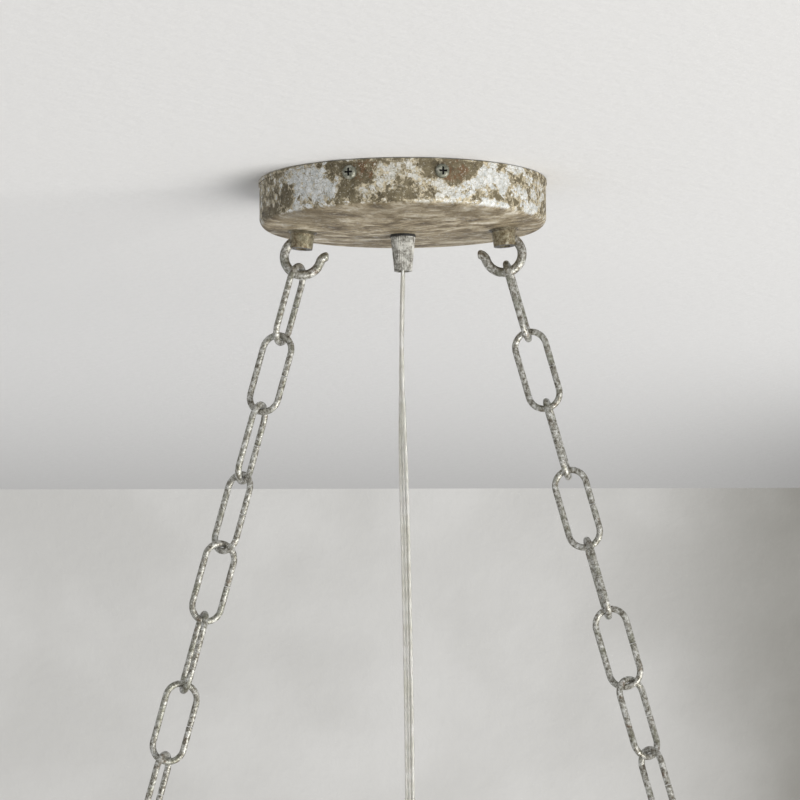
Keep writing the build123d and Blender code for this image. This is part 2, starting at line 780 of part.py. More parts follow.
# Wiring inside the spine: a bus each side of the stems, drops to the lampholders, and the earth
bus_y = (socket_nipple_bore + socket_nipple_diameter) / 4
nipple_top_z = cup_floor_z + socket_nipple_length
riser_knee_z = strap_top_z - inlet_nipple_length - conductor_diameter
bus_end_x = lamp_positions[-1] + bus_diameter / 2
body_wires = []
for side in (-1, 1):
    bus_ends = [(-bus_end_x, side * bus_y, spine_z), (bus_end_x, side * bus_y, spine_z)]
    with BuildPart() as bus:
        add(wire_run(bus_ends, 0, bus_diameter))
        for lamp_x in lamp_positions:
            add(wire_run([(lamp_x, side * bus_y, spine_z), (lamp_x, side * bus_y, nipple_top_z)], 0))
        add(
            wire_run(
                [
                    (0, side * conductor_spacing, cord_bottom_z),
                    (0, side * conductor_spacing, riser_knee_z),
                    (0, side * bus_y, spine_z),
                ],
                lead_bend_radius,
            )
        )
    body_wires.append(bus.part)
body_wires.append(wire_run([(0, 0, cord_bottom_z), (0, 0, spine_bottom_z + spine_wall)], 0))
save(Compound(children=body_wires), "body_wiring")


# Crystals
bead_top_drop = 2 * upper_ring_radius - crystal_hole_margin
bead_bottom_drop = bead_top_drop + bead_height
prism_top_drop = bead_bottom_drop - 2 * crystal_hole_margin + 2 * lower_ring_radius
bead_facet_depth = (bead_thickness - bead_girdle) / 2


def wire_ring(plane, radius, drop):
    """Closed ring of thin wire, its top this far below the rail's hole."""
    centre = plane.origin - Vector(0, 0, drop + radius)
    with BuildPart() as ring:
        with Locations(Plane(origin=centre, z_dir=plane.x_dir)):
            Torus(radius, ring_wire / 2)
    return ring.part


def octagon_bead(plane):
    """Faceted octagonal bead with a hole at its top and bottom."""
    face = Plane(
        origin=plane.origin - Vector(0, 0, bead_top_drop + bead_height / 2),
        x_dir=plane.x_dir,
        z_dir=plane.z_dir,
    )
    with BuildPart() as bead:
        with BuildSketch(face.offset(-bead_girdle / 2)):
            RegularPolygon(bead_height / 2, 8, major_radius=False, rotation=22.5)
        extrude(amount=bead_girdle)
        table_faces = bead.faces().filter_by(Axis(face.origin, face.z_dir))
        extrude(table_faces, amount=bead_facet_depth, taper=bead_facet_taper)
        with BuildSketch(face):
            with GridLocations(0, bead_height - 2 * crystal_hole_margin, 1, 2):
                Circle(crystal_hole_diameter / 2)
        extrude(amount=bead_thickness, both=True, mode=Mode.SUBTRACT)
    return bead.part


def long_prism(plane):
    """Long cut drop: thin holed neck, wide shoulder, even body and a point."""
    top = plane.origin - Vector(0, 0, prism_top_drop)
    front = Plane(origin=top, x_dir=plane.x_dir, z_dir=plane.z_dir)
    edge = Plane(origin=top, x_dir=plane.z_dir, z_dir=plane.x_dir * -1)
    plan = Plane(origin=top, x_dir=plane.x_dir, z_dir=(0, 0, 1))
    with BuildPart() as prism:
        for view, neck, full in (
            (front, prism_neck_width, prism_width),
            (edge, prism_neck_thickness, prism_thickness),
        ):
            shoulder = -prism_shoulder_drop
            point = prism_point_rise - prism_length
            with BuildSketch(view):
                with BuildLine():
                    Polyline(
                        (-neck / 2, 0),
                        (neck / 2, 0),
                        (neck / 2, -2 * crystal_hole_margin),
                        (full / 2, shoulder),
                        (full / 2, point),
                        (0, -prism_length),
                        (-full / 2, point),
                        (-full / 2, shoulder),
                        (-neck / 2, -2 * crystal_hole_margin),
                        close=True,
                    )
                make_face()
            shaping = Mode.ADD if view is front else Mode.INTERSECT
            extrude(amount=prism_width, both=True, mode=shaping)
        with BuildSketch(plan):
            RegularPolygon(prism_width / 2, 4)
            Rectangle(prism_neck_width, prism_thickness)
        extrude(amount=-prism_length, mode=Mode.INTERSECT)
        with BuildSketch(front):
            with Locations((0, -crystal_hole_margin)):
                Circle(crystal_hole_diameter / 2)
        extrude(amount=prism_thickness, both=True, mode=Mode.SUBTRACT)
    return prism.part


def crystal_strand(plane):
    """The four loose solids of one strand, below its hole in the rail. plane faces out of the rail."""
    return [
        wire_ring(plane, upper_ring_radius, 0),
        octagon_bead(plane),
        wire_ring(plane, lower_ring_radius, bead_bottom_drop - crystal_hole_margin),
        long_prism(plane),
    ]


def crystal_row(centre, facing, count, pitch):
    """Evenly spaced strands along one side of the frame."""
    across = Vector(0, 0, 1).cross(facing)
    model = crystal_strand(Plane(origin=centre, x_dir=across, z_dir=facing))
    strands = []
    for step in range(count):
        shift = across * (pitch * (step - (count - 1) / 2))
        strands += [piece.moved(Location(shift)) for piece in model]
    return Compound(children=strands)


rail_y = (frame_width - frame_thickness) / 2
rail_x = (frame_length - frame_thickness) / 2
front = Vector(0, -1, 0)
right = Vector(1, 0, 0)
rail_level = Vector(0, 0, rail_hole_z)
rows = {
    "front_crystals": (front, rail_y, long_row_count, long_row_pitch),
    "back_crystals": (front * -1, rail_y, long_row_count, long_row_pitch),
    "left_crystals": (right * -1, rail_x, short_row_count, short_row_pitch),
    "right_crystals": (right, rail_x, short_row_count, short_row_pitch),
}
for row_name, (facing, reach, strand_count, strand_pitch) in rows.items():
    save(crystal_row(rail_level + facing * reach, facing, strand_count, strand_pitch), row_name)
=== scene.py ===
import bpy
import json
import math
from mathutils import Matrix, Vector


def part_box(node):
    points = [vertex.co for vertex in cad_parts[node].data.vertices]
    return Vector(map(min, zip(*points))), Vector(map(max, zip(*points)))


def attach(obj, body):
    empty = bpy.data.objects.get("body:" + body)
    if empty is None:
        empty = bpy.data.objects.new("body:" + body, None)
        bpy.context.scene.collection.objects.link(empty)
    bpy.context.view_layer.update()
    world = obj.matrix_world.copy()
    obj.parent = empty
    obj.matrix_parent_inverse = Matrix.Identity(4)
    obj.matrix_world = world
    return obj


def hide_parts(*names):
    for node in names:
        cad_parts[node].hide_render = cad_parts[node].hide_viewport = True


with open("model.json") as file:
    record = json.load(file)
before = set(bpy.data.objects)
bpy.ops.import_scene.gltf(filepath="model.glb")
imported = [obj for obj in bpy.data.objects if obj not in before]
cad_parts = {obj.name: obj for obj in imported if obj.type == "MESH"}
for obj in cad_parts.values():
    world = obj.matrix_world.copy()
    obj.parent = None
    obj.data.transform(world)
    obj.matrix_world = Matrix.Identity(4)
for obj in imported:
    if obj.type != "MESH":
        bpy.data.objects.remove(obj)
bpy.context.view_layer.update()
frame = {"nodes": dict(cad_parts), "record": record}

# Camera at the photograph's place, looking up past the canopy
camera_data = bpy.data.cameras.new("camera")
camera_data.sensor_width = 36.0
camera_data.lens = 259.1
camera = bpy.data.objects.new("camera", camera_data)
camera.location = (0.143, -3.0, -0.505)
camera.rotation_euler = (math.radians(90 + 7.38), math.radians(0.36), math.radians(2.816))
bpy.context.collection.objects.link(camera)
bpy.context.scene.camera = camera


def place(obj, body=None):
    """Puts a new object in the scene, riding on a body."""
    bpy.context.collection.objects.link(obj)
    if body:
        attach(obj, body)
    return obj


def mesh_piece(name, points, faces, material, body, smooth=True):
    """A mesh object from points and faces, in metres."""
    mesh = bpy.data.meshes.new(name)
    mesh.from_pydata([tuple(point) for point in points], [], faces)
    mesh.update()
    if smooth:
        mesh.shade_smooth()
    else:
        mesh.shade_flat()
    mesh.materials.append(material)
    return place(bpy.data.objects.new(name, mesh), body)


# Finishes
def tint(red, green, blue):
    """Linear colour from the 0 to 255 values of a picture."""
    linear = []
    for value in (red, green, blue):
        share = value / 255
        linear.append(share / 12.92 if share <= 0.04045 else ((share + 0.055) / 1.055) ** 2.4)
    return (*linear, 1.0)


class Finish:
    """One procedural material, with short calls for the nodes that the finishes share."""

    def __init__(self, name, metallic=0.0, roughness=0.5):
        self.material = bpy.data.materials.new(name)
        self.material.use_nodes = True
        self.nodes = self.material.node_tree.nodes
        self.links = self.material.node_tree.links
        self.shader = self.nodes["Principled BSDF"]
        self.shader.inputs["Metallic"].default_value = metallic
        self.shader.inputs["Roughness"].default_value = roughness
        self.where = self.nodes.new("ShaderNodeTexCoord").outputs["Object"]

    def feed(self, socket, value):
        """Links a node's output into a socket, or sets the socket's own value."""
        if isinstance(value, bpy.types.NodeSocket):
            self.links.new(value, socket)
        else:
            socket.default_value = value

    def wear(self, name, value):
        """Feeds one of the shader's sockets."""
        self.feed(self.shader.inputs[name], value)

    def noise(self, size, detail, roughness, distortion=0.0, shift=None, scale=None):
        """Cloudy noise with features of about this size in millimetres, shifted or stretched if asked."""
        node = self.nodes.new("ShaderNodeTexNoise")
        where = self.where
        if shift or scale:
            where = self.mapped(scale or (1, 1, 1), shift or (0, 0, 0))
        self.feed(node.inputs["Vector"], where)
        node.inputs["Scale"].default_value = 1000 / size
        node.inputs["Detail"].default_value = detail
        node.inputs["Roughness"].default_value = roughness
        node.inputs["Distortion"].default_value = distortion
        return node.outputs["Fac"]

    def cells(self, size, warp=0.25):
        """Angular cells of about this size in millimetres.

        Gives the distance to a cell's edge, and the cell's own random value.
        """
        bent = self.nodes.new("ShaderNodeVectorMath")
        bent.operation = "MULTIPLY_ADD"
        ripple = self.nodes.new("ShaderNodeTexNoise")
        self.feed(ripple.inputs["Vector"], self.where)
        ripple.inputs["Scale"].default_value = 1200 / size
        ripple.inputs["Detail"].default_value = 5
        self.feed(bent.inputs[0], ripple.outputs["Color"])
        bent.inputs[1].default_value = (warp * size / 1000,) * 3
        self.feed(bent.inputs[2], self.where)
        values = []
        for feature, output in (("DISTANCE_TO_EDGE", "Distance"), ("F1", "Color")):
            node = self.nodes.new("ShaderNodeTexVoronoi")
            node.feature = feature
            self.feed(node.inputs["Vector"], bent.outputs[0])
            node.inputs["Scale"].default_value = 1000 / size
            values.append(node.outputs[output])
        return values[0], self.axis("X", values[1])

    def mapped(self, scale, shift=(0, 0, 0)):
        """Coordinates stretched and shifted."""
        node = self.nodes.new("ShaderNodeMapping")
        self.feed(node.inputs["Vector"], self.where)
        node.inputs["Scale"].default_value = scale
        node.inputs["Location"].default_value = shift
        return node.outputs["Vector"]

    def calc(self, operation, first, second, clamp=False):
        """One operation on two values."""
        node = self.nodes.new("ShaderNodeMath")
        node.operation = operation
        node.use_clamp = clamp
        self.feed(node.inputs[0], first)
        self.feed(node.inputs[1], second)
        return node.outputs[0]

    def step(self, value, low, high, start=0.0, end=1.0):
        """Smooth change from start to end as the value goes from low to high."""
        node = self.nodes.new("ShaderNodeMapRange")
        node.interpolation_type = "SMOOTHSTEP"
        self.feed(node.inputs["Value"], value)
        node.inputs["From Min"].default_value = low
        node.inputs["From Max"].default_value = high
        node.inputs["To Min"].default_value = start
        node.inputs["To Max"].default_value = end
        return node.outputs["Result"]

    def mix(self, share, first, second):
        """Colour between two colours."""
        node = self.nodes.new("ShaderNodeMix")
        node.data_type = "RGBA"
        self.feed(node.inputs[0], share)
        self.feed(node.inputs[6], first)
        self.feed(node.inputs[7], second)
        return node.outputs[2]

    def stain(self, colour, share, strength, over):
        """A colour partly covered by another. share says where, and strength how much."""
        return self.mix(self.calc("MULTIPLY", share, strength), colour, over)

    def ramp(self, value, stops):
        """Colours along a value: pairs of position and colour."""
        node = self.nodes.new("ShaderNodeValToRGB")
        elements = node.color_ramp.elements
        while len(elements) < len(stops):
            elements.new(0.5)
        for element, (position, colour) in zip(elements, stops):
            element.position = position
            element.color = colour
        self.feed(node.inputs["Fac"], value)
        return node.outputs["Color"]

    def axis(self, name, where=None):
        """One coordinate by its letter."""
        node = self.nodes.new("ShaderNodeSeparateXYZ")
        self.feed(node.inputs[0], where or self.where)
        return node.outputs[name]

    def squared(self, name):
        """One coordinate times itself."""
        value = self.axis(name)
        return self.calc("MULTIPLY", value, value)

    def facing(self, name):
        """One part of the surface's direction, in the object's own axes."""
        return self.axis(name, self.nodes.new("ShaderNodeTexCoord").outputs["Normal"])

    def blob(self, centre, size):
        """1 in the middle of a soft-edged ellipsoid, 0 outside it, in millimetres."""
        inverse = [1000 / value for value in size]
        shift = [-middle / value for middle, value in zip(centre, size)]
        node = self.nodes.new("ShaderNodeVectorMath")
        node.operation = "LENGTH"
        self.links.new(self.mapped(inverse, shift), node.inputs[0])
        return self.step(node.outputs["Value"], 1.35, 0.55)

    def bump(self, height, depth, below=None):
        """Relief of this depth in millimetres."""
        node = self.nodes.new("ShaderNodeBump")
        self.feed(node.inputs["Height"], height)
        node.inputs["Distance"].default_value = depth / 1000
        if below:
            self.feed(node.inputs["Normal"], below)
        return node.outputs["Normal"]


# The canopy's radius in millimetres, as the finishes count
PAN_RADIUS = 76.0


def leaf_finish(name, patches=(), rust=()):
    """Pale silver leaf flaking off olive-brown steel.

    patches and rust are listed spots on the pan's front.
    """
    finish = Finish(name, metallic=0.1)

    def placed(spots, start):
        """Adds hand-placed spots round the pan to a value."""
        total = start
        for x, z, wide, high, strength in spots:
            y = -math.sqrt(max(PAN_RADIUS**2 - x**2, 0))
            near = finish.blob((x, y, z), (wide, wide + 6, high))
            total = finish.calc("ADD", total, finish.calc("MULTIPLY", near, strength))
        return total

    across = finish.axis("X")
    edge, flake = finish.cells(3.4)
    chip = finish.cells(1.5, 0.4)[1]
    broad = finish.noise(20, 4, 0.6, 0.8)
    torn = finish.noise(5.5, 8, 0.76, 0.4)
    crumbs = finish.noise(1.2, 4, 0.8)
    cover = finish.calc("MULTIPLY", broad, 0.36)
    for part, weight in ((torn, 0.56), (crumbs, 0.24), (flake, 0.17), (chip, 0.12)):
        cover = finish.calc("ADD", cover, finish.calc("MULTIPLY", part, weight))
    cover = placed(patches, cover)
    tone = finish.noise(9, 7, 0.75, 0.3, shift=(3, 1, 2))
    under = finish.ramp(tone, [
        (0.30, tint(52, 44, 30)),
        (0.42, tint(84, 74, 52)),
        (0.52, tint(106, 96, 72)),
        (0.62, tint(122, 112, 86)),
        (0.74, tint(152, 142, 116)),
    ])
    browned = finish.step(placed(rust, finish.noise(4, 5, 0.7, shift=(6, 2, 8))), 0.66, 0.80)
    under = finish.stain(under, browned, 0.75, tint(104, 72, 42))
    beige = finish.ramp(finish.noise(2.6, 6, 0.78, shift=(1, 6, 4)), [
        (0.34, tint(104, 95, 74)),
        (0.46, tint(148, 138, 114)),
        (0.60, tint(204, 191, 162)),
    ])
    pale = finish.ramp(finish.noise(3.6, 8, 0.78, 0.3, shift=(8, 3, 5)), [
        (0.32, tint(146, 148, 140)),
        (0.44, tint(188, 190, 186)),
        (0.55, tint(216, 217, 214)),
        (0.68, tint(236, 236, 232)),
    ])
    from_left = finish.step(across, -0.035, -0.015)
    from_right = finish.step(across, 0.036, 0.018)
    middle = finish.calc("MULTIPLY", from_left, from_right)
    pale = finish.stain(pale, middle, 0.35, tint(200, 192, 170))
    film = finish.step(cover, 0.705, 0.735)
    leaf = finish.step(cover, 0.81, 0.822)
    pits = finish.step(finish.noise(1.5, 6, 0.8, shift=(2, 9, 1)), 0.57, 0.60)
    cracks = finish.step(finish.calc("MULTIPLY", edge, torn), 0.022, 0.008)
    broken = finish.calc("MAXIMUM", pits, finish.calc("MULTIPLY", cracks, 0.8))
    whole = finish.calc("SUBTRACT", 1.0, finish.calc("MULTIPLY", broken, 0.85))
    leaf = finish.calc("MULTIPLY", leaf, whole)
    colour = finish.mix(film, under, beige)
    colour = finish.mix(leaf, colour, pale)
    specks = finish.step(finish.noise(1.1, 4, 0.78, shift=(4, 4, 9)), 0.585, 0.62)
    colour = finish.stain(colour, specks, 0.6, tint(214, 208, 190))
    dirt = finish.step(finish.noise(1.0, 5, 0.8, shift=(7, 1, 3)), 0.56, 0.61)
    colour = finish.stain(colour, dirt, 0.6, tint(66, 56, 38))
    streaks = finish.noise(13, 8, 0.72, 0.7, shift=(2, 2, 0), scale=(0.6, 1.0, 1.0))
    below = finish.ramp(streaks, [
        (0.36, tint(62, 50, 34)),
        (0.44, tint(106, 92, 68)),
        (0.51, tint(146, 132, 106)),
        (0.57, tint(180, 168, 144)),
        (0.65, tint(220, 212, 194)),
    ])
    blotches = finish.step(finish.noise(26, 7, 0.7, 0.8, shift=(5, 5, 5)), 0.50, 0.58)
    below = finish.stain(below, blotches, 0.5, tint(104, 90, 64))
    below = finish.stain(below, dirt, 0.5, tint(76, 64, 46))
    flecks = finish.noise(6, 9, 0.82, 0.3, shift=(9, 5, 1), scale=(0.7, 1.0, 1.0))
    scraps = finish.step(flecks, 0.57, 0.60)
    below = finish.stain(below, scraps, 0.55, tint(206, 200, 184))
    front = finish.step(finish.axis("Y"), -0.03, -0.072)
    below = finish.stain(below, front, 0.35, tint(96, 84, 60))
    # Painted shade on the underside beside the left hook boss
    boss_shade = finish.blob((-50, -42, -26), (20, 16, 8))
    below = finish.stain(below, boss_shade, 0.6, tint(92, 80, 58))
    downward = finish.step(finish.facing("Z"), -0.55, -0.9)
    colour = finish.stain(colour, downward, 0.9, below)
    finish.wear("Base Color", colour)
    finish.wear("Roughness", finish.step(leaf, 0.0, 1.0, 0.7, 0.42))
    relief = finish.bump(finish.noise(1.6, 6, 0.78), 0.22)
    finish.wear("Normal", finish.bump(finish.noise(5.5, 8, 0.76, 0.4), 0.5, relief))
    return finish.material


SILVER_WIRE = [
    (0.35, tint(54, 48, 40)),
    (0.43, tint(112, 107, 95)),
    (0.50, tint(160, 158, 148)),
    (0.57, tint(204, 203, 196)),
    (0.66, tint(238, 238, 234)),
]
OLIVE_STEEL = [
    (0.33, tint(74, 62, 42)),
    (0.43, tint(112, 100, 76)),
    (0.50, tint(138, 128, 102)),
    (0.58, tint(162, 154, 130)),
    (0.68, tint(200, 196, 178)),
]


def steel_finish(name, rust, tones, mouth_shade=0.0):
    """Rough steel with rust specks and a green cast. The last argument sets painted shade on downward
    faces, standing in for the dark mouth of an open end below.
    """
    finish = Finish(name, metallic=0.5)
    cloud = finish.noise(2.2, 8, 0.8)
    colour = finish.ramp(cloud, tones)
    green = finish.step(finish.noise(11, 4, 0.6, shift=(5, 2, 7)), 0.50, 0.62)
    colour = finish.stain(colour, green, 0.4, tint(122, 124, 104))
    specks = finish.step(finish.noise(0.9, 6, 0.82), 0.545, 0.59)
    patches = finish.step(finish.noise(5, 7, 0.78, shift=(9, 4, 1)), 0.60 - 0.08 * rust, 0.65)
    colour = finish.stain(colour, specks, 0.7, tint(70, 60, 50))
    colour = finish.stain(colour, patches, 0.65, tint(106, 82, 62))
    # Painted shade: downward faces are darkened so that the open end below reads as a dark bore mouth
    mouth = finish.step(finish.facing("Z"), -0.5, -0.85)
    colour = finish.stain(colour, mouth, mouth_shade, tint(46, 40, 30))
    finish.wear("Base Color", colour)
    finish.wear("Roughness", finish.step(finish.calc("ADD", specks, patches), 0.0, 1.0, 0.32, 0.7))
    relief = finish.bump(finish.noise(0.9, 5, 0.78), 0.14)
    finish.wear("Normal", finish.bump(finish.noise(2.6, 5, 0.65), 0.22, relief))
    return finish.material


def grip_finish():
    """Worn silver-grey casting, mottled."""
    finish = Finish("grip_metal", metallic=0.5)
    cloud = finish.noise(4, 8, 0.76)
    colour = finish.ramp(cloud, [
        (0.37, tint(84, 80, 72)),
        (0.47, tint(148, 146, 138)),
        (0.57, tint(218, 217, 210)),
    ])
    specks = finish.step(finish.noise(1.4, 5, 0.7), 0.58, 0.66)
    finish.wear("Base Color", finish.stain(colour, specks, 0.6, tint(86, 74, 58)))
    finish.wear("Roughness", finish.step(cloud, 0.35, 0.65, 0.5, 0.3))
    finish.wear("Normal", finish.bump(finish.noise(1.0, 5, 0.7), 0.06))
    return finish.material


def plated_finish(name, light, deep, roughness=0.35, metallic=0.9):
    """Plated metal with faint clouding and fine scratches."""
    finish = Finish(name, metallic=metallic)
    cloud = finish.noise(6, 5, 0.6)
    finish.wear("Base Color", finish.mix(finish.step(cloud, 0.35, 0.65), deep, light))
    scratches = finish.noise(3, 3, 0.6, scale=(0.15, 1, 3))
    finish.wear("Roughness", finish.step(scratches, 0.3, 0.7, roughness, roughness + 0.2))
    finish.wear("Normal", finish.bump(finish.noise(0.9, 3, 0.6), 0.02))
    return finish.material


def moulded_finish(name, light, deep, roughness=0.5):
    """Moulded plastic with a fine grain and slight change of shade."""
    finish = Finish(name)
    finish.wear("Base Color", finish.mix(finish.step(finish.noise(9, 4, 0.6), 0.35, 0.65), deep, light))
    finish.wear("Roughness", finish.step(finish.noise(2, 4, 0.6), 0.3, 0.7, roughness, roughness + 0.15))
    finish.wear("Normal", finish.bump(finish.noise(0.5, 3, 0.6), 0.02))
    return finish.material


# From the canopy's axis: a recess has its floor nearer than the first, and its walls beyond the second;
# both get painted shade
RECESS_FLOOR_RADIUS = 77.25
RECESS_WALL_RADIUS = 76.85


def screw_finish():
    """Grey-green aged screws facing out of the pan, with painted shade, near black, on the floor and
    walls of the recess.
    """
    finish = Finish("screw_steel", metallic=0.5)
    cloud = finish.noise(2.4, 6, 0.7)
    colour = finish.ramp(cloud, [
        (0.34, tint(84, 86, 72)),
        (0.50, tint(128, 128, 114)),
        (0.66, tint(188, 186, 172)),
    ])
    reach = finish.calc("POWER", finish.calc("ADD", finish.squared("X"), finish.squared("Y")), 0.5)
    outward = finish.nodes.new("ShaderNodeVectorMath")
    outward.operation = "DOT_PRODUCT"
    spread = finish.nodes.new("ShaderNodeVectorMath")
    spread.operation = "NORMALIZE"
    finish.feed(spread.inputs[0], finish.mapped((1, 1, 0)))
    finish.feed(outward.inputs[0], spread.outputs[0])
    finish.feed(outward.inputs[1], finish.nodes.new("ShaderNodeTexCoord").outputs["Normal"])
    deep = finish.calc("LESS_THAN", reach, RECESS_FLOOR_RADIUS / 1000)
    floor = finish.calc("MULTIPLY", deep, finish.calc("GREATER_THAN", outward.outputs["Value"], 0.95))
    outer = finish.calc("GREATER_THAN", reach, RECESS_WALL_RADIUS / 1000)
    walls = finish.calc("MULTIPLY", outer, finish.calc("LESS_THAN", outward.outputs["Value"], 0.25))
    # Painted shade: the recess floor and walls are coloured near black
    finish.wear("Base Color", finish.mix(finish.calc("MAXIMUM", floor, walls), colour, tint(18, 18, 14)))
    finish.wear("Roughness", finish.step(cloud, 0.3, 0.7, 0.6, 0.4))
    finish.wear("Normal", finish.bump(finish.noise(0.8, 5, 0.7), 0.05))
    return finish.material


def clear_finish(name, colour, ior, roughness=0.0, ripple=0.02):
    """Clear glass or soft plastic with slight waviness."""
    finish = Finish(name, roughness=roughness)
    finish.shader.inputs["Transmission Weight"].default_value = 1.0
    finish.shader.inputs["IOR"].default_value = ior
    cloud = finish.step(finish.noise(20, 3, 0.5), 0.3, 0.7)
    finish.wear("Base Color", finish.mix(cloud, colour, (1, 1, 1, 1)))
    finish.wear("Normal", finish.bump(finish.noise(6, 3, 0.5), ripple))
    return finish.material


# Placed spots on the canopy's front: x, height, half width, half height, and how much more or less
LEAF_PATCHES = [
    (-46, -9, 11, 8, 0.20),
    (-37, -16, 8, 5, 0.18),
    (-48, -20, 9, 3, 0.12),
    (-56, -4, 5, 4, 0.08),
    (-7, -8, 7, 5, 0.16),
    (3, -5, 6, 4, 0.12),
    (11, -8, 4, 4, 0.12),
    (-12, -16, 6, 3, 0.10),
    (19, -13, 7, 3, 0.10),
    (30, -17, 8, 4, 0.14),
    (39, -13, 4, 5, 0.14),
    (46, -9, 5, 7, 0.20),
    (54, -9, 4, 5, 0.20),
    (61, -1.5, 5, 2.5, 0.20),
    (50, -1, 3, 2, 0.14),
    (49, -21.5, 10, 2.5, 0.18),
    (68, -20, 6, 3, 0.14),
    (-19, -7, 9, 6, -0.20),
    (-27, -15, 6, 4, -0.20),
    (-58, -14, 5, 5, -0.16),
    (-69, -21, 8, 4, -0.20),
    (17, -4, 4, 5, -0.16),
    (33, -5, 9, 5, -0.24),
    (30, -11, 5, 3, -0.16),
    (2, -19, 10, 3, -0.10),
    (72, -9, 5, 8, 0.06),
    (62, -13, 6, 5, 0.07),
    (-58, -23.5, 10, 2, 0.16),
    (20, -22.5, 14, 1.8, 0.10),
]
RUST_SPOTS = [
    (-17, -6, 9, 7, 0.22),
    (31, -6, 10, 7, 0.22),
    (-66, -15, 8, 6, 0.10),
    (73, -11, 5, 9, 0.14),
]
canopy_leaf = leaf_finish("canopy_leaf", LEAF_PATCHES, RUST_SPOTS)
aged_leaf = leaf_finish("aged_leaf")
hook_steel = steel_finish("hook_steel", 0.7, SILVER_WIRE)
chain_steel = steel_finish("chain_steel", 0.5, SILVER_WIRE)
boss_steel = steel_finish("boss_steel", 0.9, OLIVE_STEEL, mouth_shade=0.85)
grip_metal = grip_finish()
zinc_steel = plated_finish("zinc_steel", tint(196, 196, 190), tint(150, 150, 144))
earth_green = plated_finish("earth_green", tint(66, 140, 74), tint(40, 100, 50), 0.45)
lamp_brass = plated_finish("lamp_brass", tint(206, 178, 116), tint(160, 128, 74), 0.3)
ring_silver = plated_finish("ring_silver", tint(214, 210, 198), tint(158, 152, 136), 0.25)
tinned_copper = plated_finish(
    "tinned_copper", tint(252, 251, 247), tint(236, 234, 227), 0.3, metallic=0.35
)
bare_copper = plated_finish("bare_copper", tint(200, 132, 92), tint(150, 92, 60), 0.35)
filament_wire = plated_finish("filament_wire", tint(120, 112, 104), tint(80, 74, 68), 0.4)
screw_steel = screw_finish()
wire_white = moulded_finish("wire_white", tint(224, 222, 214), tint(204, 200, 190), 0.4)
wire_black = moulded_finish("wire_black", tint(44, 42, 40), tint(28, 27, 26), 0.4)
black_plastic = moulded_finish("black_plastic", tint(40, 38, 36), tint(22, 21, 20))
phenolic = moulded_finish("phenolic", tint(46, 43, 40), tint(26, 24, 22), 0.35)
connector_plastic = moulded_finish("connector_plastic", tint(222, 122, 44), tint(190, 92, 30), 0.35)
clear_plastic = clear_finish("clear_plastic", tint(238, 238, 230), 1.35, 0.05, 0.03)
lamp_glass = clear_finish("lamp_glass", tint(250, 250, 246), 1.47)
cut_crystal = clear_finish("cut_crystal", tint(246, 250, 250), 1.56, 0.0, 0.01)

FINISHES = {
    "aged_leaf": aged_leaf,
    "hook_steel": hook_steel,
    "chain_steel": chain_steel,
    "zinc_steel": zinc_steel,
    "screw_steel": screw_steel,
    "earth_green": earth_green,
    "black_plastic": black_plastic,
    "grip_metal": grip_metal,
    "connector_plastic": connector_plastic,
    "phenolic": phenolic,
    "wire_insulation": clear_plastic,
    "clear_cord": clear_plastic,
    "lamp_glass": lamp_glass,
    "crystal": cut_crystal,
}
for subpart in frame["record"]["subparts"]:
    node = frame["nodes"][subpart["node"]]
    node.material_slots[0].material = FINISHES[subpart["material_slot"]]
frame["nodes"]["canopy_pan"].material_slots[0].material = canopy_leaf
for boss in ("left_hook_boss", "right_hook_boss"):
    frame["nodes"][boss].material_slots[0].material = boss_steel


# Cord: a flat clear jacket over stranded conductors, edge on at both ends and nearly flat between
def spline_line(name, points, steps):
    """Points along a smooth curve that has these control points."""
    curve = bpy.data.curves.new(name, "CURVE")
    curve.dimensions = "3D"
    curve.resolution_u = steps
    spline = curve.splines.new("NURBS")
    spline.points.add(len(points) - 1)
    for point, where in zip(spline.points, points):
        point.co = (*where, 1.0)
    spline.order_u = 3
    spline.use_endpoint_u = True
    holder = bpy.data.objects.new(name, curve)
    mesh = bpy.data.meshes.new_from_object(holder)
    line = [vertex.co.copy() for vertex in mesh.vertices]
    bpy.data.objects.remove(holder)
    return line


def run_share(line):
    """Each point's share of the way along a line."""
    shares = [0.0]
    for before, after in zip(line, line[1:]):
        shares.append(shares[-1] + (after - before).length)
    return [share / shares[-1] for share in shares]


def sweep(name, line, section, turn, material, body, offset=(0.0, 0.0)):
    """A closed tube along a line.

    section gives the outline at a share of the way, and turn gives its angle there.
    """
    points, faces = [], []
    shares = run_share(line)
    for count, (centre, share) in enumerate(zip(line, shares)):
        ahead = line[min(count + 1, len(line) - 1)] - line[max(count - 1, 0)]
        ahead.normalize()
        side = Vector((1, 0, 0)) if abs(ahead.x) < 0.9 else Vector((0, 1, 0))
        side = (side - ahead * side.dot(ahead)).normalized()
        other = ahead.cross(side)
        angle = turn(share)
        wide = side * math.cos(angle) + other * math.sin(angle)
        thin = other * math.cos(angle) - side * math.sin(angle)
        for across, up in section(share):
            points.append(centre + wide * (across + offset[0]) + thin * (up + offset[1]))
    size = len(section(0.0))
    for ring in range(len(line) - 1):
        for step in range(size):
            a = ring * size + step
            b = ring * size + (step + 1) % size
            faces.append((a, b, b + size, a + size))
    faces.append(tuple(range(size))[::-1])
    faces.append(tuple(range(len(points) - size, len(points))))
    return mesh_piece(name, points, faces, material, body)


